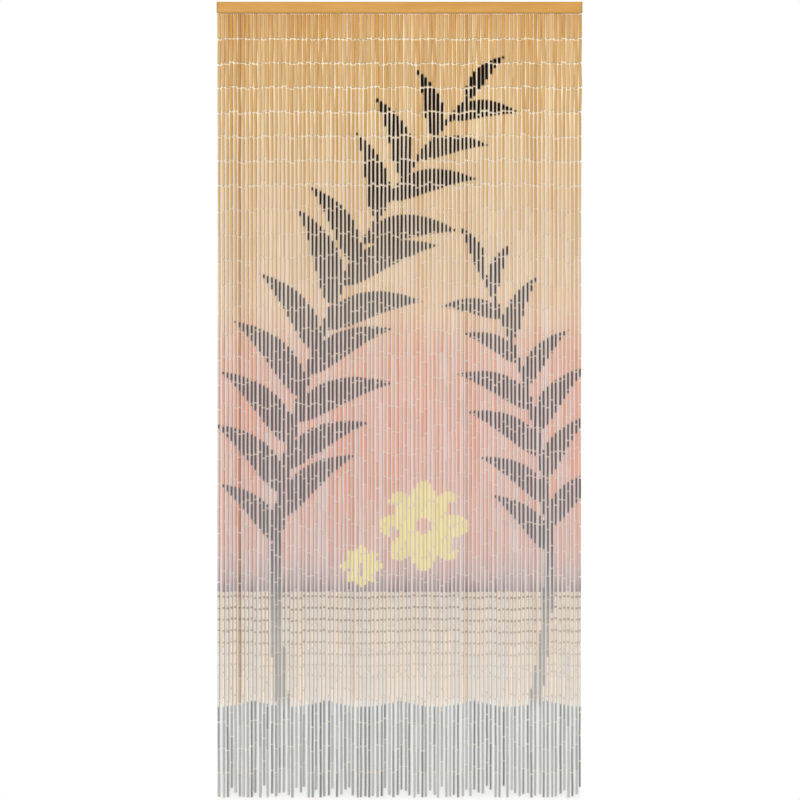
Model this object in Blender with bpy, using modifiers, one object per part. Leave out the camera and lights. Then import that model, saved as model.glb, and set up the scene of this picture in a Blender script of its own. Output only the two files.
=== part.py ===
"""A bamboo door curtain: a painted wooden headrail with ninety strands of bamboo tubes under it.

Metres, +Z up. The front faces -Y, and +X is to the right of somebody who looks at the front. The
origin is the middle of the headrail's back face, which lies flat on the wall above a doorway.
"""

import math
import random
from collections import namedtuple

import bmesh
import bpy
from mathutils import Matrix, Vector

# Headrail, a flat batten
RAIL_WIDTH = 0.910
RAIL_HEIGHT = 0.028
RAIL_DEPTH = 0.012
RAIL_EDGE_ROUND = 0.0016
RAIL_EDGE_STEPS = 3

# Row of wire eyes under the headrail, as one narrow strip that the strands grow from
CLEARANCE = 0.0003
STRIP_WIDTH = 0.906
STRIP_HEIGHT = 0.0018
STRIP_DEPTH = 0.004

# Strands. A strand's number counts from the left, and its joints count down from the eye.
STRANDS = 90
STRAND_PITCH = 0.0101
STRAND_SIDES = 3
TUBES = 32
TOP_JOINT_Z = -0.0178
LOWEST_Z = -1.966
END_SPREAD = 0.030
TUBE_WIDTH = 0.0057
TOP_TUBE_WIDTHS = (0.0076, 0.0076, 0.0076, 0.0069, 0.0062)
LINK_WIDTH = 0.0022
LINK_LENGTH = 0.003

# How unevenly the strands hang. The tubes differ in length, least of all the first and last ones.
SEED = 9100
SWAY = 0.0015
TOP_ZIGZAG = 0.0009
LOW_ZIGZAG = 0.0004
DEPTH_ZIGZAG = 0.0006
EVEN_TUBES = 7
EVEN_SLIP = 0.0022
LOOSE_SLIP = 0.0075
LAST_SLIP = 0.0035

# Joints where the solid strand is notched, and joints between them where it only bends
NOTCHED_JOINTS = (1, 2, 3, 4, 31)
BENT_JOINTS = (11, 18, 25)

RAIL_COLOUR = (0.70, 0.376, 0.102)
RAIL_ROUGHNESS = 0.45
BAMBOO_COLOUR = (0.69, 0.50, 0.36)
BAMBOO_ROUGHNESS = 0.55

RAIL_Y = -RAIL_DEPTH / 2
STRIP_TOP_Z = -RAIL_HEIGHT / 2 - CLEARANCE

Station = namedtuple("Station", "centre width")


def clear_scene():
    """Removes whatever objects the open file holds."""
    for thing in list(bpy.data.objects):
        bpy.data.objects.remove(thing, do_unlink=True)


def new_collection(name):
    """A collection of this name in the scene."""
    group = bpy.data.collections.new(name)
    bpy.context.scene.collection.children.link(group)
    return group


def finish(name, colour, roughness):
    """A plain Principled material."""
    material = bpy.data.materials.new(name)
    material.use_nodes = True
    shader = material.node_tree.nodes["Principled BSDF"]
    shader.inputs["Base Color"].default_value = (*colour, 1.0)
    shader.inputs["Roughness"].default_value = roughness
    shader.inputs["Metallic"].default_value = 0.0
    return material


def box(name, width, depth, height, centre, group):
    """A block of these sizes about its centre, with its scale applied."""
    bpy.ops.mesh.primitive_cube_add(size=1, location=centre)
    block = bpy.context.object
    block.name = name
    block.data.transform(Matrix.Diagonal((width, depth, height, 1)))
    for holder in list(block.users_collection):
        holder.objects.unlink(block)
    group.objects.link(block)
    return block


def slips(chance):
    """How far each joint hangs off an even spacing. The eye and the lower end keep their places."""
    found = [0]
    for joint in range(1, TUBES):
        reach = EVEN_SLIP if joint <= EVEN_TUBES else LOOSE_SLIP
        found.append(found[-1] + chance.uniform(-reach, reach))
    excess = found[-1] - chance.uniform(-LAST_SLIP, LAST_SLIP)
    for joint in range(EVEN_TUBES, TUBES):
        found[joint] -= excess * (joint - EVEN_TUBES) / (TUBES - 1 - EVEN_TUBES)
    return found + [0]


def hang(number):
    """Where each joint of a strand hangs: a list of points, from the eye to the lower end."""
    chance = random.Random(SEED + number)
    sway = chance.uniform(-SWAY, SWAY)
    bottom_z = LOWEST_Z + END_SPREAD * chance.random() ** 2
    middle_x = (number - (STRANDS - 1) / 2) * STRAND_PITCH
    points = []
    for joint, slip in enumerate(slips(chance)):
        share = joint / TUBES
        reach = TOP_ZIGZAG if joint <= len(TOP_TUBE_WIDTHS) else LOW_ZIGZAG
        aside = chance.uniform(-reach, reach) if joint else 0
        forward = chance.uniform(-DEPTH_ZIGZAG, DEPTH_ZIGZAG) if joint else 0
        z = TOP_JOINT_Z + (bottom_z - TOP_JOINT_Z) * share + slip
        points.append(Vector((middle_x + sway * share + aside, RAIL_Y + forward, z)))
    return points


def tube_width(tube):
    """The width of a tube, counted from 1 at the top. The first few tubes are wider."""
    return TOP_TUBE_WIDTHS[tube - 1] if tube <= len(TOP_TUBE_WIDTHS) else TUBE_WIDTH


def stations(number):
    """The sections that a strand's solid passes through, from inside the strip to its lower end."""
    points = hang(number)
    half_link = Vector((0, 0, LINK_LENGTH / 2))
    root = Vector((points[0].x, points[0].y, STRIP_TOP_Z - STRIP_HEIGHT / 2))
    found = [Station(root, LINK_WIDTH), Station(points[0], tube_width(1))]
    for joint in sorted(NOTCHED_JOINTS + BENT_JOINTS):
        point = points[joint]
        if joint in NOTCHED_JOINTS:
            found.append(Station(point + half_link, tube_width(joint)))
            found.append(Station(point, LINK_WIDTH))
            found.append(Station(point - half_link, tube_width(joint + 1)))
        else:
            found.append(Station(point, tube_width(joint)))
    found.append(Station(points[TUBES], tube_width(TUBES)))
    return found


def add_strand(cane, number):
    """Draws one strand down from section to section, with a flat side to the front."""
    first, *others = stations(number)
    corner_radius = first.width / (2 * math.sin(math.pi / STRAND_SIDES))
    ring = bmesh.ops.create_circle(
        cane,
        cap_ends=False,
        segments=STRAND_SIDES,
        radius=corner_radius,
        matrix=Matrix.Translation(first.centre),
    )["verts"]
    rings = [ring]
    edges = list({edge for vert in ring for edge in vert.link_edges})
    above = first
    for station in others:
        drawn = bmesh.ops.extrude_edge_only(cane, edges=edges)["geom"]
        ring = [part for part in drawn if isinstance(part, bmesh.types.BMVert)]
        edges = [part for part in drawn if isinstance(part, bmesh.types.BMEdge)]
        swell = station.width / above.width
        about_centre = Matrix.Translation(-above.centre)
        bmesh.ops.scale(cane, verts=ring, vec=(swell, swell, 1), space=about_centre)
        bmesh.ops.translate(cane, verts=ring, vec=station.centre - above.centre)
        rings.append(ring)
        above = station
    for open_ring in (rings[0], rings[-1]):
        bmesh.ops.contextual_create(cane, geom=open_ring)


def make_headrail(group):
    """The batten, with all its edges a little rounded."""
    rail = box("headrail", RAIL_WIDTH, RAIL_DEPTH, RAIL_HEIGHT, (0, RAIL_Y, 0), group)
    rounding = rail.modifiers.new("rounded edges", "BEVEL")
    rounding.width = RAIL_EDGE_ROUND
    rounding.segments = RAIL_EDGE_STEPS
    rounding.limit_method = "ANGLE"
    rail.data.materials.append(finish("rail paint", RAIL_COLOUR, RAIL_ROUGHNESS))


def make_canes(group):
    """All the strands in one mesh, as separate bodies, ready to be joined to the strip."""
    cane = bmesh.new()
    for number in range(STRANDS):
        add_strand(cane, number)
    bmesh.ops.recalc_face_normals(cane, faces=cane.faces[:])
    mesh = bpy.data.meshes.new("canes")
    cane.to_mesh(mesh)
    cane.free()
    canes = bpy.data.objects.new("canes", mesh)
    group.objects.link(canes)
    canes.hide_render = True
    canes.display_type = "WIRE"
    return canes


def make_strands(group, canes):
    """The strip under the headrail with the strands' roots fused into it, as one body."""
    strip_z = STRIP_TOP_Z - STRIP_HEIGHT / 2
    strands = box("strands", STRIP_WIDTH, STRIP_DEPTH, STRIP_HEIGHT, (0, RAIL_Y, strip_z), group)
    joined = strands.modifiers.new("strands joined on", "BOOLEAN")
    joined.operation = "UNION"
    joined.solver = "EXACT"
    joined.object = canes
    strands.data.materials.append(finish("painted bamboo", BAMBOO_COLOUR, BAMBOO_ROUGHNESS))


def main():
    clear_scene()
    curtain = new_collection("bamboo door curtain")
    cutters = new_collection("cutters")
    make_headrail(curtain)
    make_strands(curtain, make_canes(cutters))


main()
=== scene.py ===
# %% [markdown]
# # A bamboo door curtain
# Ninety strands of short bamboo tubes hang from a painted wooden headrail. The tubes are wired end
# to end, and the paint runs over them in soft bands, from ochre at the top to grey at the foot.
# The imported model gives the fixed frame: the headrail keeps its solid, and the plain strands are
# replaced by real tubes and wire in the same places.

# %% The frame
import math
import random
from collections import namedtuple

import bmesh
import bpy
import numpy as np
from mathutils import Matrix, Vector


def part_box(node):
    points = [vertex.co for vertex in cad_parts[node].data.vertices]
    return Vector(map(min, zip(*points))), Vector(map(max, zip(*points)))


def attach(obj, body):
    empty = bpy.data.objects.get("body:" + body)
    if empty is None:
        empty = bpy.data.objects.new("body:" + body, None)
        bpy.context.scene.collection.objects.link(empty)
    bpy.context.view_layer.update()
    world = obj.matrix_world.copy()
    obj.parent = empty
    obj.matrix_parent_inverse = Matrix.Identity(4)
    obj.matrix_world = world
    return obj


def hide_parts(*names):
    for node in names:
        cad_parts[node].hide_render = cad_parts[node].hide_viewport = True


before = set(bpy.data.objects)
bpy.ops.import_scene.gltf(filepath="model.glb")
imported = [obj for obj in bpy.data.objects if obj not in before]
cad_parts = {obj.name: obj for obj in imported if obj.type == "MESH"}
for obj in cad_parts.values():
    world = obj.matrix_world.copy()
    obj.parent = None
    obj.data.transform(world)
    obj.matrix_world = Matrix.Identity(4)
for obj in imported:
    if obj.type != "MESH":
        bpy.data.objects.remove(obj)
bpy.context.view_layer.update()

rail_low, rail_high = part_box("headrail")
strands_low, strands_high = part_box("strands")
print("headrail", [round(side, 4) for side in rail_high - rail_low])
print("strands hang from", round(strands_high.z, 4), "down to", round(strands_low.z, 4))

# %% [markdown]
# ## Camera
# The photograph looks straight at the curtain, with its whole height in the picture. A long lens
# from far away keeps the tubes upright and parallel, as there.

# %% Camera
PICTURE_HEIGHT = 1.9896
PICTURE_MIDDLE_X = 0.0011
PICTURE_MIDDLE_Z = -0.97675
CAMERA_DISTANCE = 8.0
SENSOR = 0.036
MILLIMETRES = 1000

lens = bpy.data.cameras.new("camera")
lens.sensor_width = SENSOR * MILLIMETRES
lens.lens = lens.sensor_width * CAMERA_DISTANCE / PICTURE_HEIGHT
camera = bpy.data.objects.new("camera", lens)
bpy.context.scene.collection.objects.link(camera)
camera.location = (PICTURE_MIDDLE_X, rail_low.y - CAMERA_DISTANCE, PICTURE_MIDDLE_Z)
camera.rotation_euler = (math.radians(90), 0, 0)
bpy.context.scene.camera = camera
print("lens", round(lens.lens, 1), "mm")

# %% [markdown]
# ## Studio
# The photograph is evenly lit from in front and has hardly a shadow. Here one soft sun shines
# almost straight on, from a little to the left and above, white light from all round fills in,
# and a weaker sun behind keeps the curtain's back readable.

# %% Light
scene = bpy.context.scene
scene.view_settings.view_transform = "Standard"

FILL_LIGHT = 0.46
SEEN_WHITE = 1.0
world = bpy.data.worlds.new("studio")
world.use_nodes = True
tree = world.node_tree
seen = tree.nodes.new("ShaderNodeLightPath").outputs["Is Camera Ray"]
level = tree.nodes.new("ShaderNodeMapRange")
level.inputs["To Min"].default_value = FILL_LIGHT
level.inputs["To Max"].default_value = SEEN_WHITE
tree.links.new(seen, level.inputs["Value"])
tree.links.new(level.outputs[0], tree.nodes["Background"].inputs["Strength"])
tree.nodes["Background"].inputs["Color"].default_value = (1, 1, 1, 1)
scene.world = world


def sun(name, strength, spread, from_left, from_above):
    """A soft sun. Its direction is given in degrees away from straight in front."""
    light = bpy.data.lights.new(name, "SUN")
    light.energy = strength
    light.angle = math.radians(spread)
    lamp = bpy.data.objects.new(name, light)
    lamp.rotation_euler = (math.radians(90 - from_above), 0, -math.radians(from_left))
    scene.collection.objects.link(lamp)


sun("key light", strength=2.1, spread=20, from_left=7, from_above=5)
sun("back light", strength=1.2, spread=25, from_left=160, from_above=35)
print("suns", [lamp.name for lamp in bpy.data.lights])

# %% [markdown]
# ## How the strands hang
# On the real curtain each strand is a chain, so every joint sits a little out of line, and the
# tubes differ in length. The first rows are nearly even, the middle ones have drifted apart, and
# the last joints line up again. Blender could let chains swing and settle, but a rule with a fixed
# seed is quick, gives the same hang each time and is the one that the solids follow, so each tube
# lies where its solid is. Joint 0 is at the eye under the headrail, and joint 32 is the lower end.

# %% The hang
STRANDS = 90
STRAND_PITCH = 0.0101
TUBES = 32
TOP_JOINT_Z = -0.0178
LOWEST_Z = -1.966
END_SPREAD = 0.030
SEED = 9100
SWAY = 0.0015
WIDE_TUBES = 5
TOP_ZIGZAG = 0.0009
LOW_ZIGZAG = 0.0004
DEPTH_ZIGZAG = 0.0006
EVEN_TUBES = 7
EVEN_SLIP = 0.0022
LOOSE_SLIP = 0.0075
LAST_SLIP = 0.0035
STRAND_Y = (rail_low.y + rail_high.y) / 2


def slips(chance):
    """How far the joints hang off an even spacing, because the tubes differ in length."""
    found = [0]
    for joint in range(1, TUBES):
        reach = EVEN_SLIP if joint <= EVEN_TUBES else LOOSE_SLIP
        found.append(found[-1] + chance.uniform(-reach, reach))
    excess = found[-1] - chance.uniform(-LAST_SLIP, LAST_SLIP)
    for joint in range(EVEN_TUBES, TUBES):
        found[joint] -= excess * (joint - EVEN_TUBES) / (TUBES - 1 - EVEN_TUBES)
    return found + [0]


def hang(number):
    """Where each joint of a strand hangs, from the eye to the lower end."""
    chance = random.Random(SEED + number)
    sway = chance.uniform(-SWAY, SWAY)
    bottom_z = LOWEST_Z + END_SPREAD * chance.random() ** 2
    middle_x = (number - (STRANDS - 1) / 2) * STRAND_PITCH
    points = []
    for joint, slip in enumerate(slips(chance)):
        share = joint / TUBES
        reach = TOP_ZIGZAG if joint <= WIDE_TUBES else LOW_ZIGZAG
        aside = chance.uniform(-reach, reach) if joint else 0
        forward = chance.uniform(-DEPTH_ZIGZAG, DEPTH_ZIGZAG) if joint else 0
        z = TOP_JOINT_Z + (bottom_z - TOP_JOINT_Z) * share + slip
        points.append((middle_x + sway * share + aside, STRAND_Y + forward, z))
    return points


joints = np.array([hang(number) for number in range(STRANDS)])
lengths = -np.diff(joints[:, :, 2], axis=1) * MILLIMETRES
print("strands", STRANDS, "tubes", round(lengths.min(), 1), "to", round(lengths.max(), 1), "mm")

# %% [markdown]
# ## One tube
# A tube is a length of thin bamboo, sawn square and drilled through. It could be a cylinder with a
# hole cut by a boolean. Spinning its section round its axis is simpler: the section is a closed
# outline, which gives the outer wall, both cut ends and the bore in one closed shape. It is
# repeated 2,880 times, so it has only ten sides.

# %% One tube
TUBE_SIDES = 10
TUBE_LENGTH = 0.058
TUBE_RADIUS = 0.0028
BORE_RADIUS = 0.0013
WELD = 1e-6
PAINTED, CUT = 0, 1

Shape = namedtuple("Shape", "points faces smooth slots")


def as_shape(made, slot_of):
    """The arrays of a bmesh whose faces all have four corners."""
    made.verts.index_update()
    return Shape(
        np.array([vert.co for vert in made.verts]),
        np.array([[vert.index for vert in face.verts] for face in made.faces]),
        np.array([face.smooth for face in made.faces]),
        np.array([slot_of(face) for face in made.faces]),
    )


def is_sawn_end(face):
    """True on the two flat ends, which face along the tube."""
    return abs(face.normal.z) > 0.5


def spun_tube():
    """A drilled tube about the Z axis, with its middle at the origin."""
    half = TUBE_LENGTH / 2
    outline = (
        (BORE_RADIUS, half),
        (TUBE_RADIUS, half),
        (TUBE_RADIUS, 0),
        (TUBE_RADIUS, -half),
        (BORE_RADIUS, -half),
    )
    made = bmesh.new()
    corners = [made.verts.new((radius, 0, z)) for radius, z in outline]
    sides = [made.edges.new(pair) for pair in zip(corners, corners[1:] + corners[:1])]
    bmesh.ops.spin(
        made,
        geom=corners + sides,
        axis=(0, 0, 1),
        cent=(0, 0, 0),
        angle=math.tau,
        steps=TUBE_SIDES,
        use_merge=True,
    )
    bmesh.ops.remove_doubles(made, verts=made.verts, dist=WELD)
    bmesh.ops.recalc_face_normals(made, faces=made.faces)
    for face in made.faces:
        face.smooth = not is_sawn_end(face)
    return made


def cut_or_painted(face):
    """Only the outer wall is painted."""
    reach = max(math.hypot(vert.co.x, vert.co.y) for vert in face.verts)
    in_bore = reach < (BORE_RADIUS + TUBE_RADIUS) / 2
    return CUT if is_sawn_end(face) or in_bore else PAINTED


made = spun_tube()
tube = as_shape(made, cut_or_painted)
made.free()
print("one tube has", len(tube.faces), "faces")

# %% [markdown]
# ## Joining many copies
# Thousands of tubes as separate objects would be slow, so the copies are joined: the points of
# the one shape are turned and moved for every place at once, and its faces are repeated. Values
# that belong to one copy, such as its tone, or to each of its points, go along as attributes,
# where the materials find them.

# %% Joining many copies
CORNERS = 4


def bowed_copies(shape, count, bows):
    """The shape's points for each copy. A bow pushes the middle of its copy aside."""
    points = np.broadcast_to(shape.points, (count, *shape.points.shape)).copy()
    if bows is not None:
        along = shape.points[:, 2] / (TUBE_LENGTH / 2)
        points[:, :, :2] += bows[:, None, :] * (1 - along**2)[None, :, None]
    return points


def mesh_of_copies(name, shape, points):
    """One mesh from the points of all the copies, with the shape's faces for each."""
    count = len(points)
    first = np.arange(count) * len(shape.points)
    faces = shape.faces[None] + first[:, None, None]
    slots = np.tile(shape.slots, count).astype(np.int32)
    mesh = bpy.data.meshes.new(name)
    mesh.vertices.add(count * len(shape.points))
    mesh.vertices.foreach_set("co", points.astype(np.float32).ravel())
    mesh.loops.add(faces.size)
    mesh.loops.foreach_set("vertex_index", faces.astype(np.int32).ravel())
    mesh.polygons.add(count * len(shape.faces))
    mesh.polygons.foreach_set("loop_start", np.arange(0, faces.size, CORNERS, dtype=np.int32))
    mesh.polygons.foreach_set("material_index", slots)
    mesh.polygons.foreach_set("use_smooth", np.tile(shape.smooth, count))
    mesh.update(calc_edges=True)
    return mesh


def keep_sharp(mesh, shape, count):
    """Marks the edges of flat faces as sharp, so that only the curved walls are shaded smooth."""
    edge_of_corner = np.empty(len(mesh.loops), np.int32)
    mesh.loops.foreach_get("edge_index", edge_of_corner)
    at_flat_face = np.repeat(np.tile(~shape.smooth, count), CORNERS)
    sharp = np.zeros(len(mesh.edges), bool)
    sharp[edge_of_corner[at_flat_face]] = True
    mesh.attributes.new("sharp_edge", "BOOLEAN", "EDGE").data.foreach_set("value", sharp)


def keep_values(mesh, shape, values):
    """Stores numbers and triples on the points. What belongs to a copy goes to all its points."""
    for name, each in values.items():
        triple = each.ndim == 2 and each.shape[1] == 3
        stored = mesh.attributes.new(name, "FLOAT_VECTOR" if triple else "FLOAT", "POINT")
        if each.size < len(mesh.vertices):
            each = np.repeat(each, len(shape.points), axis=0)
        stored.data.foreach_set("vector" if triple else "value", each.astype(np.float32).ravel())


def joined(name, shape, places, values, bows=None):
    """One piece with a copy of the shape at each place, a 3 x 4 matrix."""
    points = bowed_copies(shape, len(places), bows)
    points = np.einsum("pij,pvj->pvi", places[:, :, :3], points) + places[:, None, :, 3]
    mesh = mesh_of_copies(name, shape, points)
    keep_sharp(mesh, shape, len(places))
    keep_values(mesh, shape, values)
    piece = bpy.data.objects.new(name, mesh)
    scene.collection.objects.link(piece)
    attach(piece, "root")
    return piece


def stretched_between(tops, bottoms, widths, turns):
    """Places that lay the tube shape from each top to its bottom, scaled in width and turned."""
    axis = tops - bottoms
    length = np.linalg.norm(axis, axis=1)
    up = axis / length[:, None]
    turned = np.stack([np.cos(turns), np.sin(turns), np.zeros(len(turns))], axis=1)
    across = turned - up * np.sum(turned * up, axis=1)[:, None]
    across /= np.linalg.norm(across, axis=1)[:, None]
    ahead = np.cross(up, across)
    places = np.empty((len(tops), 3, 4))
    swell = (widths / (2 * TUBE_RADIUS))[:, None]
    places[:, :, 0] = across * swell
    places[:, :, 1] = ahead * swell
    places[:, :, 2] = up * (length / TUBE_LENGTH)[:, None]
    places[:, :, 3] = (tops + bottoms) / 2
    return places


# %% [markdown]
# ## The painted design
# The bands are sprayed over the whole curtain, and a maker then stencils darker and paler shapes
# on top: here two leafy branches and two round flowers. They could be drawn as an image. Rules that
# say whether a point lies in a shape need no file and give clean edges at any size.

# %% Shapes of the design
Branch = namedtuple("Branch", "foot bend tip thickness leaves longest first")
BRANCHES = (
    Branch((-0.290, -1.735), (-0.400, -0.850), (0.170, -0.225), 0.034, 21, 0.260, 0.24),
    Branch((0.335, -1.735), (0.450, -1.150), (0.205, -0.660), 0.030, 13, 0.210, 0.34),
)
THINNEST_STEM = 0.0116
STEM_STEPS = 160
STEM_TAPER = 0.8
LEAF_WIDTH = 0.27
LEAF_SWELL = 1.3
LEAF_LENGTHS_VARY = (0.88, 1.08)
END_LEAVES_SHORTER = 0.42
LEAF_ANGLE = 52
LEAF_ANGLE_VARIES = 9
LEAF_SAG = 0.10
DESIGN_SEED = 41

Flower = namedtuple("Flower", "x z radius")
FLOWERS = (Flower(0.060, -1.290, 0.112), Flower(-0.095, -1.390, 0.052))
PETALS = 8
PETAL_NOTCH = 0.38
PETAL_ROUNDNESS = 0.7
EYE_SHARE = 0.17


def along_stem(branch, share):
    """The point at this share of the stem's length, and the heading of the stem there."""
    foot, bend, tip = np.array((branch.foot, branch.bend, branch.tip))
    point = foot * (1 - share) ** 2 + bend * 2 * share * (1 - share) + tip * share**2
    ahead = (bend - foot) * (1 - share) + (tip - bend) * share
    return point, math.atan2(ahead[1], ahead[0])


def in_leaf(x, z, base, heading, length):
    """True inside a leaf: pointed at its tip, widest near its base and drooping."""
    ahead_x, ahead_z = math.cos(heading), math.sin(heading)
    along = ((x - base[0]) * ahead_x + (z - base[1]) * ahead_z) / length
    aside = (z - base[1]) * ahead_x - (x - base[0]) * ahead_z
    part = np.clip(along, 0, 1)
    sag = -math.copysign(LEAF_SAG, ahead_x) * length * 4 * part * (1 - part)
    half = length * LEAF_WIDTH * LEAF_SWELL * np.sqrt(part) * (1 - part)
    return (along > 0) & (along < 1) & (np.abs(aside + sag) < half)


def in_branch(branch, x, z, chance):
    """True inside the stem or one of its leaves, which stand on both sides in turn."""
    found = np.zeros(np.broadcast(x, z).shape, bool)
    for share in np.linspace(0, 1, STEM_STEPS):
        point, _ = along_stem(branch, share)
        thickness = max(branch.thickness * (1 - STEM_TAPER * share), THINNEST_STEM)
        found |= np.hypot(x - point[0], z - point[1]) < thickness / 2
    for leaf in range(branch.leaves):
        share = branch.first + (1 - branch.first) * leaf / (branch.leaves - 1)
        point, heading = along_stem(branch, share)
        side = 0 if leaf == branch.leaves - 1 else (-1) ** leaf
        turn = LEAF_ANGLE + chance.uniform(-LEAF_ANGLE_VARIES, LEAF_ANGLE_VARIES)
        shorter = END_LEAVES_SHORTER * abs(2 * share - 1) ** 1.5
        length = branch.longest * (1 - shorter) * chance.uniform(*LEAF_LENGTHS_VARY)
        found |= in_leaf(x, z, point, heading + side * math.radians(turn), length)
    return found


def in_flower(flower, x, z):
    """True inside the petals, but not in the small eye of the flower."""
    away = np.hypot(x - flower.x, z - flower.z)
    turn = np.arctan2(z - flower.z, x - flower.x)
    bulge = np.abs(np.cos(turn * PETALS / 2)) ** PETAL_ROUNDNESS
    petals = 1 - PETAL_NOTCH * (1 - bulge)
    return (away < flower.radius * petals) & (away > flower.radius * EYE_SHARE)


# %% [markdown]
# ## Where each tube is painted
# A tube is so narrow that only the stretch of it that is covered matters. The rules are tried
# every millimetre down each strand, and each tube keeps the top and the bottom of up to three
# covered stretches, the longest first.

# %% Where each tube is painted
STEP = 0.001
STRETCHES = 3
NOWHERE = (9.0, 9.0, 0.0)
OVER_THE_END = 0.01

heights = np.arange(TOP_JOINT_Z, LOWEST_Z, -STEP)
strand_x = joints[:, :, 0].mean(axis=1)
chance = random.Random(DESIGN_SEED)
grid = (strand_x[:, None], heights[None, :])
dark = np.any([in_branch(branch, *grid, chance) for branch in BRANCHES], axis=0)
pale = np.any([in_flower(flower, *grid) for flower in FLOWERS], axis=0) & ~dark


def stretches(covered, top, bottom):
    """Up to three painted stretches of a tube as (upper height, lower height, 1)."""
    first, last = np.searchsorted(-heights, (-top, -bottom))
    steps = np.concatenate([[False], covered[first:last], [False]])
    changes = np.flatnonzero(steps[1:] != steps[:-1])
    pairs = sorted(zip(changes[::2], changes[1::2]), key=lambda pair: pair[0] - pair[1])
    found = []
    for start, stop in pairs[:STRETCHES]:
        high = top + OVER_THE_END if start == 0 else top - start * STEP
        low = bottom - OVER_THE_END if stop == last - first else top - stop * STEP
        found.append((high, low, 1.0))
    return found + [NOWHERE] * (STRETCHES - len(found))


print("dark share", round(float(dark.mean()), 3), "pale share", round(float(pale.mean()), 3))

# %% [markdown]
# ## Sizes of the tubes
# Bamboo isn't turned, so tubes differ in width, and few are quite straight. The top rows are of
# thicker cane and all but touch, and the foot is of the thinnest. Where two strands come near each
# other, their tubes are kept from passing through one another. A joint shows as a gap between two
# tubes, which is a little wider or higher here than there.

# %% Sizes of the tubes
TOP_GAP = 0.0037
LOW_GAP = 0.0024
MIDDLE_WIDTH = 0.0056
FOOT_WIDTH = 0.0054
TOP_WIDTHS = (0.0084, 0.0083, 0.0080, 0.0072, 0.0062)
WIDTH_VARIES = 0.09
SPARE = 0.0001
GAP_VARIES = 0.3
GAP_SLIP = 0.0009
GAP_SEED = 5
TOP_END_VARIES = 0.0026
BOW = 0.00012

vary = np.random.default_rng(SEED)
tops = joints[:, :-1].copy()
bottoms = joints[:, 1:].copy()
sawn = np.random.default_rng(GAP_SEED)
gaps = np.where(np.arange(1, TUBES) <= EVEN_TUBES, TOP_GAP, LOW_GAP)
gaps = gaps * sawn.uniform(1 - GAP_VARIES, 1 + GAP_VARIES, (STRANDS, TUBES - 1))
gap_middles = joints[:, 1:-1].copy()
gap_middles[:, :, 2] += sawn.uniform(-GAP_SLIP, GAP_SLIP, gaps.shape)
tops[:, 1:, 2] = gap_middles[:, :, 2] - gaps / 2
bottoms[:, :-1, 2] = gap_middles[:, :, 2] + gaps / 2
tops[:, 0, 2] += vary.uniform(0, TOP_END_VARIES, STRANDS)
thinner = np.linspace(MIDDLE_WIDTH, FOOT_WIDTH, TUBES - WIDE_TUBES)
widths = np.tile(np.concatenate([TOP_WIDTHS, thinner]), (STRANDS, 1))
widths *= vary.uniform(1 - WIDTH_VARIES, 1 + WIDTH_VARIES, widths.shape)
apart = np.minimum(np.diff(tops[:, :, 0], axis=0), np.diff(bottoms[:, :, 0], axis=0)) - SPARE
widths[1:] = np.minimum(widths[1:], apart)
widths[:-1] = np.minimum(widths[:-1], apart)
turns = vary.uniform(0, math.tau, widths.shape)
bows = vary.normal(0, BOW, (STRANDS, TUBES, 2))
print("widths", [round(width * MILLIMETRES, 2) for width in (widths.min(), widths.max())], "mm")

# %% [markdown]
# ## What each tube takes along
# The paint needs a few values of its own for each tube: how light it is, how warm its colour is,
# which drifts slowly down a strand, and the painted stretches. A few strands are of darker cane
# and stay amber all the way down. Two borders differ from strand to strand: the rows of dashes
# step up and down every few strands, and the grey band at the foot has a scalloped edge.

# %% Values for the paint
DARK_STRANDS = {5: 1.0, 33: 0.35, 61: 0.45, 78: 0.3}
STEADINESS = 0.86
DRIFT = 0.22
DASH_GROUP = 3
DASH_STEP = 0.0034
DASH_UNEVEN = 0.0011
DASH_SEED = 7
GREY_TOP_Z = -1.724
SCALLOP_WIDTH = 0.182
SCALLOP_DEPTH = 0.016


def drifting():
    """Values from 0 to 1 that change slowly from tube to tube down each strand."""
    found = vary.normal(0, 1, (STRANDS, TUBES))
    for row in range(1, TUBES):
        found[:, row] *= math.sqrt(1 - STEADINESS**2)
        found[:, row] += STEADINESS * found[:, row - 1]
    return np.clip(0.5 + found * DRIFT, 0, 1)


def for_each_tube(per_strand):
    """Repeats a value of each strand for all its tubes."""
    return np.repeat(per_strand[:, None], TUBES, axis=1)


def marks(covered, count):
    """The painted stretches of every tube, as arrays of (upper, lower, 1)."""
    found = []
    for where, highs, lows in zip(covered, tops[:, :, 2], bottoms[:, :, 2]):
        found.append([stretches(where, high, low) for high, low in zip(highs, lows)])
    spans = np.array(found)
    return [spans[:, :, which] for which in range(count)]


amber = np.zeros(STRANDS)
for number, strength in DARK_STRANDS.items():
    amber[number] = strength
cuts = np.random.default_rng(DASH_SEED)
dash_shift = np.repeat(cuts.uniform(-DASH_STEP, DASH_STEP, STRANDS // DASH_GROUP), DASH_GROUP)
dash_shift += cuts.uniform(-DASH_UNEVEN, DASH_UNEVEN, STRANDS)
scallop = np.abs(np.sin(math.pi * strand_x / SCALLOP_WIDTH))
dark_1, dark_2, dark_3 = marks(dark, 3)
tube_values = {
    "tone": vary.random(widths.shape),
    "hue": drifting(),
    "strand_tone": drifting(),
    "amber": for_each_tube(amber),
    "dash_shift": for_each_tube(dash_shift),
    "grey_top": for_each_tube(GREY_TOP_Z - scallop * SCALLOP_DEPTH),
    "dark_1": dark_1,
    "dark_2": dark_2,
    "dark_3": dark_3,
    "bloom": marks(pale, 1)[0],
}
print("each tube keeps", len(tube_values), "values")

# %% [markdown]
# ## Nine panels of tubes
# The tubes are joined in panels of ten strands, so that no piece gets too heavy. Paint that is
# sprayed on covers the front of a round tube and thins out at its sides, and it chips off at the
# sawn ends. So each point of the mesh also keeps how squarely it faces the front, and where it
# lies along its tube.

# %% The nine panels
PANEL_STRANDS = 10


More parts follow.
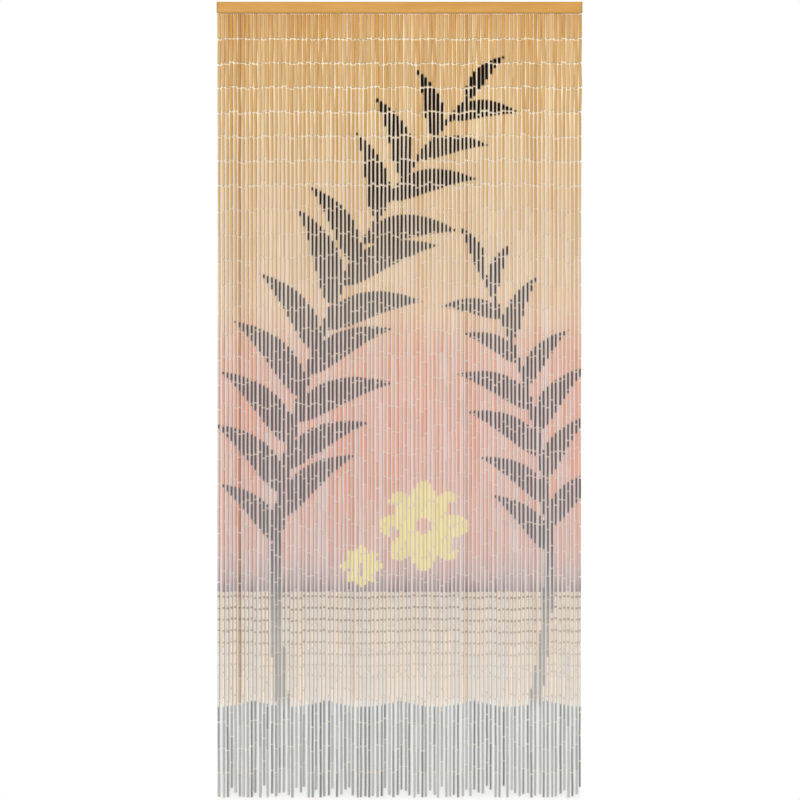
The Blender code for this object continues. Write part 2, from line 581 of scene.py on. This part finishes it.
def facing(places):
    """For each point of each tube 1 at its front, -1 at its back and 0 at its sides."""
    outward = tube.points[:, :2] / np.linalg.norm(tube.points[:, :2], axis=1)[:, None]
    swell = np.linalg.norm(places[:, :, 0], axis=1)[:, None]
    return -np.einsum("pj,vj->pv", places[:, 1, :2] / swell, outward)


panels = []
for first in range(0, STRANDS, PANEL_STRANDS):
    some = slice(first, first + PANEL_STRANDS)
    ends = (tops[some].reshape(-1, 3), bottoms[some].reshape(-1, 3))
    places = stretched_between(*ends, widths[some].ravel(), turns[some].ravel())
    values = {}
    for value_name, each in tube_values.items():
        values[value_name] = each[some].reshape(PANEL_STRANDS * TUBES, -1)
    values["facing"] = facing(places)
    values["along"] = np.tile(tube.points[:, 2] / (TUBE_LENGTH / 2), (len(places), 1))
    name = f"tubes_{first + 1:02d}_to_{first + PANEL_STRANDS:02d}"
    panel = joined(name, tube, places, values, bows[some].reshape(-1, 2))
    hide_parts("strands")
    panels.append(panel)
print("panels", len(panels), "tubes", widths.size)

# %% [markdown]
# ## Wire links
# A wire runs through each tube and ends in a small loop on both sides, and the loops of two tubes
# hold each other. The wire inside doesn't show, so only the loops are made. A loop could be a curve
# with a round bevel, but that is far too fine for thousands of them. Here it is a ring spun from a
# four-sided section, drawn out to an oval. The two loops of a joint stand across each other, and
# both reach a little way into their tubes.

# %% One loop
WIRE_RADIUS = 0.0003
LOOP_WIDTH = 0.0018
LOOP_LENGTH = 0.0031
LOOP_STEPS = 8
WIRE_SIDES = 4


def spun_loop():
    """An oval loop of wire in the XZ plane, with the middle of its lower bend at the origin."""
    made = bmesh.new()
    across = LOOP_WIDTH / 2
    beside = Matrix.Translation((across, 0, 0))
    section = bmesh.ops.create_circle(
        made,
        segments=WIRE_SIDES,
        radius=WIRE_RADIUS,
        matrix=beside @ Matrix.Rotation(math.pi / 4, 4, "Z"),
    )["verts"]
    edges = list({edge for vert in section for edge in vert.link_edges})
    bmesh.ops.spin(
        made,
        geom=section + edges,
        axis=(0, 1, 0),
        cent=(0, 0, 0),
        angle=math.tau,
        steps=LOOP_STEPS,
        use_merge=True,
    )
    bmesh.ops.remove_doubles(made, verts=made.verts, dist=WELD)
    for vert in made.verts:
        vert.co.z += math.copysign(LOOP_LENGTH / 2 - across, vert.co.z)
    bmesh.ops.translate(made, verts=made.verts, vec=(0, 0, LOOP_LENGTH / 2))
    bmesh.ops.recalc_face_normals(made, faces=made.faces)
    for face in made.faces:
        face.smooth = True
    return made


made = spun_loop()
loop = as_shape(made, lambda face: 0)
made.free()
print("one loop has", len(loop.faces), "faces")

# %% [markdown]
# ## All the loops
# At each joint the upper tube's loop comes down to just under the middle, and the lower tube's
# loop, the same shape upside down, comes up to just above it.

# %% All the loops
CATCH = 0.00035
LOOPS_TURN = 0.5
LOOP_STRANDS = 30
DOWN, UP = 1, -1


def loop_places(middles, turns, direction):
    """Loops that hang down from above a joint, or stand up from below it."""
    places = np.zeros((len(middles), 3, 4))
    places[:, 0, 0] = np.cos(turns) * direction
    places[:, 1, 0] = np.sin(turns) * direction
    places[:, 0, 1] = -np.sin(turns)
    places[:, 1, 1] = np.cos(turns)
    places[:, 2, 2] = direction
    places[:, :, 3] = middles
    places[:, 2, 3] -= CATCH * direction
    return places


wire_pieces = []
loop_turns = vary.uniform(-LOOPS_TURN, LOOPS_TURN, (STRANDS, TUBES - 1))
for first in range(0, STRANDS, LOOP_STRANDS):
    some = slice(first, first + LOOP_STRANDS)
    middles = gap_middles[some].reshape(-1, 3)
    around = loop_turns[some].ravel()
    hanging = loop_places(middles, around, DOWN)
    standing = loop_places(middles, around + math.pi / 2, UP)
    places = np.concatenate([hanging, standing])
    name = f"links_{first + 1:02d}_to_{first + LOOP_STRANDS:02d}"
    links = joined(name, loop, places, {"tone": vary.random(len(places))})
    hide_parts("strands")
    wire_pieces.append(links)
print("loops", 2 * STRANDS * (TUBES - 1))

# %% [markdown]
# ## Eyes under the headrail
# Each strand hangs from a wire eye in the headrail's underside, and the first tube's loop passes
# through it. An eye is hardly different from a loop, so both are copies of the same shape. The
# eye's upper bend is hidden in the wood.

# %% Eyes
EYE_REACH = 0.0021
eye_middles = joints[:, 0].copy()
eye_middles[:, 2] = rail_low.z - EYE_REACH
straight = np.zeros(STRANDS)
eyes = loop_places(eye_middles, straight + math.pi / 2, DOWN)
first_loops = loop_places(eye_middles, straight, UP)
values = {"tone": vary.random(2 * STRANDS)}
eye_row = joined("eyes", loop, np.concatenate([eyes, first_loops]), values)
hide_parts("strands")
wire_pieces.append(eye_row)
print("eyes and first loops", 2 * STRANDS)

# %% [markdown]
# ## Writing materials as sums
# A shader could be wired node by node, but it is easier to read as arithmetic. Signal stands for
# one output of a node: adding, subtracting or multiplying signals adds Math nodes. Finish owns one
# material, and its node method adds every other kind of node.

# %% Signals and finishes
OBJECT_PLACE = 3
AS_TRIPLE, AS_NUMBER = 1, 2


class Signal:
    """One output of a node, which can stand in a sum."""

    def __init__(self, finish, socket):
        self.finish = finish
        self.socket = socket

    def maths(self, operation, *terms):
        """A Math node on these terms."""
        return self.finish.node("Math", {"operation": operation}, dict(enumerate(terms)))[0]

    def __add__(self, other):
        return self.maths("ADD", self, other)

    def __sub__(self, other):
        return self.maths("SUBTRACT", self, other)

    def __rsub__(self, other):
        return self.maths("SUBTRACT", other, self)

    def __mul__(self, other):
        return self.maths("MULTIPLY", self, other)

    def size(self):
        """The value without its sign."""
        return self.maths("ABSOLUTE", self)

    def wrapped(self, size):
        """The remainder after whole steps of this size."""
        return self.maths("FLOORED_MODULO", self, size)

    def largest(self, other):
        """The greater of two values."""
        return self.maths("MAXIMUM", self, other)

    def between(self, start, end):
        """Rises softly from 0 to 1 as the value goes from start to end."""
        sockets = {"Value": self, "From Min": start, "From Max": end}
        settings = {"interpolation_type": "SMOOTHSTEP"}
        return self.finish.node("MapRange", settings, sockets)[0]

    __radd__ = __add__
    __rmul__ = __mul__


def linear(colour):
    """A colour written as 0 to 255 the way screens count, as the shader's own numbers."""
    found = []
    for part in colour:
        share = part / 255
        found.append(((share + 0.055) / 1.055) ** 2.4 if share > 0.04045 else share / 12.92)
    return found


class Finish:
    """A material under construction."""

    def __init__(self, name, **constants):
        self.material = bpy.data.materials.new(name)
        self.material.use_nodes = True
        self.tree = self.material.node_tree
        self.shader = self.tree.nodes["Principled BSDF"]
        for socket, value in constants.items():
            self.shader.inputs[socket.replace("_", " ")].default_value = value

    def node(self, kind, settings, sockets):
        """Adds a node, sets it up, then links or sets its sockets. Returns its outputs."""
        made = self.tree.nodes.new("ShaderNode" + kind)
        for setting, value in settings.items():
            if setting == "stops":
                self.set_stops(made.color_ramp.elements, value)
            else:
                setattr(made, setting, value)
        for socket, value in sockets.items():
            self.feed(made.inputs[socket], value)
        return [Signal(self, output) for output in made.outputs]

    def set_stops(self, steps, stops):
        """Gives a ramp its stops, which are (position from 0 to 1, colour)."""
        while len(steps) < len(stops):
            steps.new(0.5)
        for step, (position, colour) in zip(steps, stops):
            step.position = position
            step.color = (*colour, 1)

    def feed(self, socket, value):
        """Links a signal to a socket, or sets a number or colour there."""
        if isinstance(value, Signal):
            self.tree.links.new(value.socket, socket)
        else:
            socket.default_value = value

    def place(self):
        """The point's place in the frame as separate x, y and z."""
        where = self.node("TexCoord", {}, {})[OBJECT_PLACE]
        return self.node("SeparateXYZ", {}, {0: where})

    def own(self, name):
        """A number that the piece keeps for each of its points."""
        return self.node("Attribute", {"attribute_name": name}, {})[AS_NUMBER]

    def own_triple(self, name):
        """Three numbers that the piece keeps for each of its points, taken apart."""
        triple = self.node("Attribute", {"attribute_name": name}, {})[AS_TRIPLE]
        return self.node("SeparateXYZ", {}, {0: triple})

    def noise(self, x, y, z, detail=2.0):
        """Soft noise at a point that may be stretched, from 0 to 1."""
        where = self.node("CombineXYZ", {}, {0: x, 1: y, 2: z})[0]
        return self.node("TexNoise", {}, {"Vector": where, "Scale": 1.0, "Detail": detail})[0]

    def blend(self, share, first, second, how="MIX"):
        """Mixes two colours."""
        colours = {0: share}
        for socket, colour in ((6, first), (7, second)):
            colours[socket] = colour if isinstance(colour, Signal) else (*colour, 1)
        return self.node("Mix", {"data_type": "RGBA", "blend_type": how}, colours)[2]

    def ramp(self, value, stops):
        """The colour that a ramp has at this value."""
        return self.node("ValToRGB", {"stops": stops}, {0: value})[0]

    def bump(self, height, distance, strength):
        """Links a height to the shader's normal."""
        sockets = {"Height": height, "Distance": distance, "Strength": strength}
        self.paint("Normal", self.node("Bump", {}, sockets)[0])

    def paint(self, socket, value):
        """Links a signal to a socket of the shader."""
        self.feed(self.shader.inputs[socket], value)


# %% [markdown]
# ## Painted bamboo
# Thin matt paint lies over the cane, and the fibres show through it as fine lines along the tube.
# The colours could be painted on an image as wide as the curtain. Here the height chooses them
# through colour ramps, which stay sharp at any distance. The tables name each colour as a screen
# shows it, at its height in the frame: the ombre and its washed-out version, the cream foot, and
# the dark paint of the branches, which turns greyer down the curtain.

# %% The bands
Band = namedtuple("Band", "z colour")
OMBRE = (
    Band(-0.014, (190, 137, 61)),
    Band(-0.050, (194, 142, 65)),
    Band(-0.090, (197, 150, 80)),
    Band(-0.290, (196, 155, 94)),
    Band(-0.500, (203, 168, 117)),
    Band(-0.630, (205, 173, 129)),
    Band(-0.750, (214, 176, 136)),
    Band(-0.860, (213, 157, 130)),
    Band(-1.100, (213, 156, 133)),
    Band(-1.230, (213, 161, 140)),
    Band(-1.350, (207, 164, 150)),
    Band(-1.410, (190, 163, 156)),
    Band(-1.454, (143, 128, 125)),
)
FOOT = (
    Band(-1.454, (206, 193, 180)),
    Band(-1.500, (212, 199, 186)),
    Band(-1.580, (218, 205, 192)),
    Band(-1.640, (220, 209, 197)),
    Band(-1.720, (222, 213, 203)),
)
DARK = (
    Band(-0.150, (6, 6, 7)),
    Band(-0.430, (8, 8, 9)),
    Band(-0.560, (36, 37, 40)),
    Band(-0.680, (66, 69, 73)),
    Band(-0.800, (79, 81, 83)),
    Band(-1.000, (82, 84, 87)),
    Band(-1.330, (98, 101, 103)),
    Band(-1.450, (132, 133, 133)),
    Band(-1.560, (156, 156, 154)),
    Band(-1.750, (158, 158, 156)),
)
WASHED = (
    Band(-0.014, (216, 184, 134)),
    Band(-0.300, (218, 194, 152)),
    Band(-0.750, (220, 200, 174)),
    Band(-0.860, (212, 190, 178)),
    Band(-1.350, (206, 190, 184)),
    Band(-1.454, (172, 164, 164)),
)


def ramp_of(finish, z, bands):
    """A ramp through these bands, looked up by height."""
    top, bottom = bands[0].z, bands[-1].z
    stops = [((top - band.z) / (top - bottom), linear(band.colour)) for band in bands]
    return finish.ramp((top - z) * (1 / (top - bottom)), stops)


print("bands", [len(bands) for bands in (OMBRE, FOOT, DARK, WASHED)])

# %% [markdown]
# ## Ombre and cream band
# No two tubes take the spray alike. Where the coat is thin the ombre looks washed out, less so in
# the top rows, and each strand's bands lie a little higher or lower. The cream band below is
# cooler on some strands and warmer on others, and its rows of dashes fade out downwards.

# %% Ombre and cream band
TUBE_VALUES = ("tone", "hue", "strand_tone", "amber", "dash_shift", "grey_top", "facing", "along")
TubeSignals = namedtuple("TubeSignals", TUBE_VALUES)
TOP_ROWS_Z = -0.26
TOP_ROWS_SOFT = 0.08
BANDS_SHIFT = 0.03
COOL_CREAM = (206, 206, 201)
WARM_CREAM = (235, 213, 184)
SANDY = 0.45
DASH_BROWN = (152, 128, 118)
DASH_COVER = 0.8
DASH_START_Z = -1.463
DASH_SPACING = 0.0285
DASH_HEIGHT = 0.0062
DASH_SOFT = 0.002
DASH_FADE = 0.24


def ombre(finish, z, own, top_rows):
    """Ochre that turns to pink and mauve, blended with its washed-out version."""
    full = ramp_of(finish, z + (own.strand_tone - 0.5) * BANDS_SHIFT, OMBRE)
    # The top rows are all a little thin, and those below differ more from tube to tube.
    thin = (own.hue - 0.2).largest(0) * (1.35 - top_rows * 0.65) + top_rows * 0.16
    return finish.blend(thin, full, ramp_of(finish, z, WASHED))


def cream_band(finish, z, own):
    """Cream with rows of short dashes."""
    colour = ramp_of(finish, z, FOOT)
    warmth = own.strand_tone.between(0.2, 0.8)
    sandy = finish.blend(warmth, linear(COOL_CREAM), linear(WARM_CREAM))
    colour = finish.blend(SANDY, colour, sandy)
    dash_z = (DASH_START_Z - z + own.dash_shift).wrapped(DASH_SPACING)
    above_end = (DASH_HEIGHT + DASH_SOFT / 2 - dash_z).between(0, DASH_SOFT)
    dash = above_end * dash_z.between(0, DASH_SOFT)
    faded = (z - GREY_TOP_Z).between(0.0, DASH_FADE)
    return finish.blend(dash * faded * DASH_COVER, colour, linear(DASH_BROWN))


# %% [markdown]
# ## Grey foot, flowers and branches
# The grey and the dark coats are sprayed from in front over what lies below, so they thin out
# round the sides of each tube. A pale undercoat shows beside the grey. The flowers and branches are
# stencilled on last, with soft edges, and each tube knows where its painted stretches lie.

# %% Grey foot, flowers and branches
UNDERCOAT = (212, 212, 208)
DARK_GREY = (116, 118, 117)
PALE_GREY = (180, 181, 179)
PALE_YELLOW = (226, 214, 146)
STENCIL_SOFT = 0.0022


def grey_foot(finish, colour, low, own):
    """The grey band over its undercoat. Low is 1 below the scalloped edge."""
    colour = finish.blend(low, colour, linear(UNDERCOAT))
    tone = own.strand_tone.between(0.1, 0.9)
    grey = finish.blend(tone, linear(DARK_GREY), linear(PALE_GREY))
    return finish.blend(low * own.facing.size().between(0.6, 0.85), colour, grey)


def inside(finish, name, z):
    """1 in a painted stretch of the tube, fading out softly at both ends."""
    top, bottom, there = finish.own_triple(name)
    below_top = (top - z).between(-STENCIL_SOFT, STENCIL_SOFT)
    above_bottom = (z - bottom).between(-STENCIL_SOFT, STENCIL_SOFT)
    return below_top * above_bottom * there


def flowers(finish, colour, z, cloud):
    """The pale flowers, a little cloudy."""
    bloom = inside(finish, "bloom", z) * (cloud.between(0.1, 0.5) * 0.2 + 0.75)
    return finish.blend(bloom, colour, linear(PALE_YELLOW))


def branches(finish, colour, z, sprayed_z, coated, fibre):
    """The dark branches, through which a few fibres show."""
    strip = inside(finish, "dark_1", sprayed_z)
    for name in ("dark_2", "dark_3"):
        strip = strip.largest(inside(finish, name, sprayed_z))
    cover = strip * (1.0 - fibre.between(0.6, 0.85) * 0.08) * (coated * 0.85 + 0.15)
    return finish.blend(cover, colour, ramp_of(finish, z, DARK))


# %% [markdown]
# ## The whole paint
# The finish puts the layers on in a painter's order. A band's edge wanders a little, as sprayed
# edges do, and a few strands of older cane are darker all the way down. At the sawn ends some paint
# has chipped off. Last, each tube gets its own brightness, and its fibres stand out as a fine bump.
# The sawn ends and the bore are bare cane.

# %% The whole paint
EDGE_WANDERS = 0.004
CREAM_TOP_Z = -1.454
CREAM_TOP_VARIES = 0.003
CREAM_TOP_SOFT = 0.001
GREY_TOP_SOFT = 0.003
FULL_COAT_Z = -0.5
FULL_COAT_SOFT = 0.06
FULLER = 0.15
WORN_LENGTH = 0.0007
WORN_VARIES = 0.0016
OLD_CANE = (206, 172, 130)
BARE_CANE = (214, 186, 142)


def with_old_cane(finish, colour, amber):
    """Darkens the strands of older cane."""
    darker = finish.blend(1.0, colour, linear(OLD_CANE), "MULTIPLY")
    return finish.blend(amber, colour, darker)


def worn_ends(finish, colour, own, fibre):
    """Shows bare cane where the paint has chipped off."""
    from_end = (1 - own.along.size()) * (TUBE_LENGTH / 2)
    worn = (WORN_LENGTH - from_end + (fibre - 0.5) * WORN_VARIES).between(-0.0001, 0.0003)
    return finish.blend(worn * 0.6, colour, linear(BARE_CANE))


def painted_bamboo():
    """The paint on the tubes' outer walls."""
    finish = Finish("painted bamboo", Specular_IOR_Level=0.06)
    x, y, z = finish.place()
    own = TubeSignals(*(finish.own(name) for name in TUBE_VALUES))
    fibre = finish.noise(x * 2600, y * 2600, z * 26, 3.0)
    cloud = finish.noise(x * 90, y * 90, z * 34)
    sprayed_z = z + (finish.noise(x * 600, y * 600, z * 90) - 0.5) * EDGE_WANDERS
    top_rows = (z - TOP_ROWS_Z).between(-TOP_ROWS_SOFT, TOP_ROWS_SOFT)
    fuller = (z - FULL_COAT_Z).between(-FULL_COAT_SOFT, FULL_COAT_SOFT) * FULLER
    coated = (own.facing.size() + fuller).between(0.5, 0.75)
    cream_top = CREAM_TOP_Z + (own.hue - 0.5) * CREAM_TOP_VARIES
    below = (cream_top - sprayed_z).between(-CREAM_TOP_SOFT, CREAM_TOP_SOFT)
    low = (own.grey_top - sprayed_z).between(-GREY_TOP_SOFT, GREY_TOP_SOFT)

    colour = ombre(finish, sprayed_z, own, top_rows)
    colour = finish.blend(below, colour, cream_band(finish, sprayed_z, own))
    colour = grey_foot(finish, colour, low, own)
    # Old cane shows less under the grey coat and in the top rows.
    colour = with_old_cane(finish, colour, own.amber * (0.8 - low * 0.6 - top_rows * 0.25))
    colour = flowers(finish, colour, sprayed_z, cloud)
    colour = branches(finish, colour, z, sprayed_z, coated, fibre)
    colour = worn_ends(finish, colour, own, fibre)

    light = 1.02 + own.tone * 0.12 + (fibre - 0.5) * 0.14 + (cloud - 0.5) * 0.08
    shade = finish.node("CombineXYZ", {}, {0: light, 1: light, 2: light})[0]
    finish.paint("Base Color", finish.blend(1.0, colour, shade, "MULTIPLY"))
    finish.paint("Roughness", 0.42 + fibre * 0.22)
    finish.bump(fibre, 0.00012, 0.6)
    return finish.material


def cut_bamboo():
    """The bare cane of the sawn ends and the bore."""
    finish = Finish("cut bamboo", Roughness=0.8)
    x, y, z = finish.place()
    pores = finish.noise(x * 5200, y * 5200, z * 60)
    colour = finish.blend(pores, linear((176, 146, 102)), linear((226, 203, 160)))
    finish.paint("Base Color", colour)
    finish.bump(pores, 0.0001, 0.5)
    return finish.material


paint, bare = painted_bamboo(), cut_bamboo()
for panel in panels:
    panel.data.materials.append(paint)
    panel.data.materials.append(bare)
print("paint has", len(paint.node_tree.nodes), "nodes, bare cane", len(bare.node_tree.nodes))

# %% [markdown]
# ## Wire
# Thin galvanised wire is bright and a little dull in patches. A loop is only a few pixels wide, so
# one soft noise and each loop's own tone are enough.

# %% Wire
def galvanised_wire():
    """Bright drawn wire."""
    finish = Finish("galvanised wire", Metallic=0.5)
    x, y, z = finish.place()
    patches = finish.noise(x * 900, y * 900, z * 900)
    shine = patches * 0.5 + finish.own("tone") * 0.4
    colour = finish.blend(shine, linear((196, 195, 191)), linear((228, 227, 223)))
    finish.paint("Base Color", colour)
    finish.paint("Roughness", 0.28 + patches * 0.25)
    return finish.material


wire = galvanised_wire()
for piece in wire_pieces:
    piece.data.materials.append(wire)
print("pieces of wire", len(wire_pieces))

# %% [markdown]
# ## Headrail paint
# The batten is planed softwood under one coat of ochre paint. The grain runs along it and shows as
# faint lines, so its noise is stretched along x. The paint is a little thin on the long edges, and
# the colour is darker near both ends.

# %% Headrail paint
EDGE_WIDTH = 0.0022
END_LENGTH = 0.007


def rail_paint():
    """Ochre paint on planed wood."""
    finish = Finish("ochre rail paint", Specular_IOR_Level=0.3)
    x, y, z = finish.place()
    grain = finish.noise(x * 14, y * 700, z * 700, 4.0)
    cloud = finish.noise(x * 9, y * 60, z * 60)
    colour = finish.blend(grain.between(0.3, 0.75), linear((198, 142, 50)), linear((206, 150, 55)))
    colour = finish.blend(cloud.between(0.35, 0.7) * 0.5, colour, linear((190, 137, 50)))
    edge = (z.size() - (rail_high.z - EDGE_WIDTH)).between(0.0, 0.0018)
    colour = finish.blend(edge * grain * 0.7, colour, linear((196, 146, 74)))
    # Darker near both ends.
    near_end = (x.size() - (rail_high.x - END_LENGTH)).between(0.0, 0.005)
    colour = finish.blend(near_end * 0.6, colour, linear((160, 126, 74)))
    finish.paint("Base Color", colour)
    finish.paint("Roughness", 0.38 + cloud * 0.2)
    finish.bump(grain, 0.00015, 0.5)
    return finish.material


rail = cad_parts["headrail"]
for material_slot in rail.material_slots:
    material_slot.material = rail_paint()
print("headrail has", len(rail.material_slots), "material")

# %% [markdown]
# ## Board
# Close behind the strands stands a white board, just as wide as they are. Light that has passed
# painted cane takes up its colour, so the gaps of the photograph are a paler version of the bands
# beside them. Blender could work that out from light through the cane, slowly and with much noise,
# and tinting the board does it at once. The tint is painted coloured light and painted shade: the
# board is greyer than white where the strands shade it, and its top rows have a painted glow.
# Beyond the board everything is white. It is clear from behind, and light passes it, so the curtain
# can be looked at from all round.

# %% Board
BOARD_WIDTH = 0.899
BOARD_TOP_Z = -0.013
BOARD_FOOT_Z = -1.974
BOARD_Y = 0.0008
BACKFACING = 6
BLACK = (0, 0, 0)
# Painted coloured light and painted shade: the board's tint by height, greyer than white where the
# strands shade it.
PAINTED_BOUNCE_AND_SHADE = (
    Band(-0.014, (250, 236, 208)),
    Band(-0.080, (252, 240, 216)),
    Band(-0.200, (246, 234, 210)),
    Band(-0.320, (239, 224, 202)),
    Band(-0.500, (231, 217, 203)),
    Band(-0.750, (226, 215, 205)),
    Band(-1.000, (226, 210, 207)),
    Band(-1.280, (220, 208, 206)),
    Band(-1.440, (223, 214, 212)),
    Band(-1.470, (212, 206, 199)),
    Band(-1.715, (213, 208, 203)),
    Band(-1.742, (229, 230, 228)),
    Band(-1.935, (227, 228, 225)),
    Band(-1.955, (227, 227, 224)),
    Band(-1.966, (234, 234, 231)),
    Band(-1.974, (242, 241, 238)),
)


def seen_from_one_side(finish, faded=0.0):
    """Makes a finish clear from behind, and also where a signal says that it is faded."""
    facing_away = finish.node("NewGeometry", {}, {})[BACKFACING]
    clear = finish.node("BsdfTransparent", {}, {})[0]
    solid = Signal(finish, finish.shader.outputs[0])
    either = finish.node("MixShader", {}, {0: facing_away.largest(faded), 1: solid, 2: clear})[0]
    finish.feed(finish.tree.nodes["Material Output"].inputs["Surface"], either)


def board_finish():
    """Painted light and shade: the board's tint down its height. Its painted glow keeps the narrow
    top gaps light.
    """
    finish = Finish("white board", Roughness=0.9, Emission_Strength=0.13)
    z = finish.place()[2]
    top_rows = (z - TOP_ROWS_Z).between(-TOP_ROWS_SOFT, TOP_ROWS_SOFT)
    finish.paint("Base Color", ramp_of(finish, z, PAINTED_BOUNCE_AND_SHADE))
    # Painted glow: the board's top rows emit cream light so that the narrow gaps there stay light.
    finish.paint("Emission Color", finish.blend(top_rows, BLACK, linear((255, 238, 208))))
    seen_from_one_side(finish)
    return finish.material


def studio_sheet(name, sheet, place, material):
    """Puts up a flat sheet, which is seen but throws no light or shadow on the curtain."""
    bmesh.ops.transform(sheet, verts=sheet.verts, matrix=place)
    mesh = bpy.data.meshes.new(name)
    sheet.to_mesh(mesh)
    sheet.free()
    mesh.materials.append(material)
    made = bpy.data.objects.new(name, mesh)
    scene.collection.objects.link(made)
    for ray in ("diffuse", "glossy", "transmission", "shadow"):
        setattr(made, "visible_" + ray, False)
    print(name, "measures", [round(side, 3) for side in made.dimensions])


sheet = bmesh.new()
bmesh.ops.create_grid(sheet, x_segments=1, y_segments=1, size=0.5)
bmesh.ops.scale(sheet, verts=sheet.verts, vec=(BOARD_WIDTH, BOARD_TOP_Z - BOARD_FOOT_Z, 1))
middle = Matrix.Translation((0, BOARD_Y, (BOARD_TOP_Z + BOARD_FOOT_Z) / 2))
studio_sheet("board", sheet, middle @ Matrix.Rotation(math.radians(90), 4, "X"), board_finish())

# %% [markdown]
# ## Floor
# The strands end a hand above a plain pale floor, which lies just below the photograph's view. It
# could be a wide plane, but its far edge would cut across the white. A round disc that fades out
# into the white has no such edge, and it too is clear from below.

# %% Floor
FLOOR_Z = -2.05
FLOOR_MIDDLE_Y = -0.45
FLOOR_RADIUS = 1.0
FADE_START = 0.62
FLOOR_STEPS = 64


def floor_finish():
    """Pale matt vinyl, faintly cloudy, which fades out round its rim."""
    finish = Finish("pale floor", Roughness=0.8, Emission_Strength=0.28)
    x, y, z = finish.place()
    cloud = finish.noise(x * 2.5, y * 2.5, z)
    colour = finish.blend(cloud, linear((232, 230, 226)), linear((240, 238, 235)))
    finish.paint("Base Color", colour)
    finish.paint("Emission Color", colour)
    behind = y - FLOOR_MIDDLE_Y
    seen_from_one_side(finish, (x * x + behind * behind).between(FADE_START**2, FLOOR_RADIUS**2))
    return finish.material


disc = bmesh.new()
bmesh.ops.create_circle(disc, cap_ends=True, segments=FLOOR_STEPS, radius=FLOOR_RADIUS)
studio_sheet("floor", disc, Matrix.Translation((0, FLOOR_MIDDLE_Y, FLOOR_Z)), floor_finish())
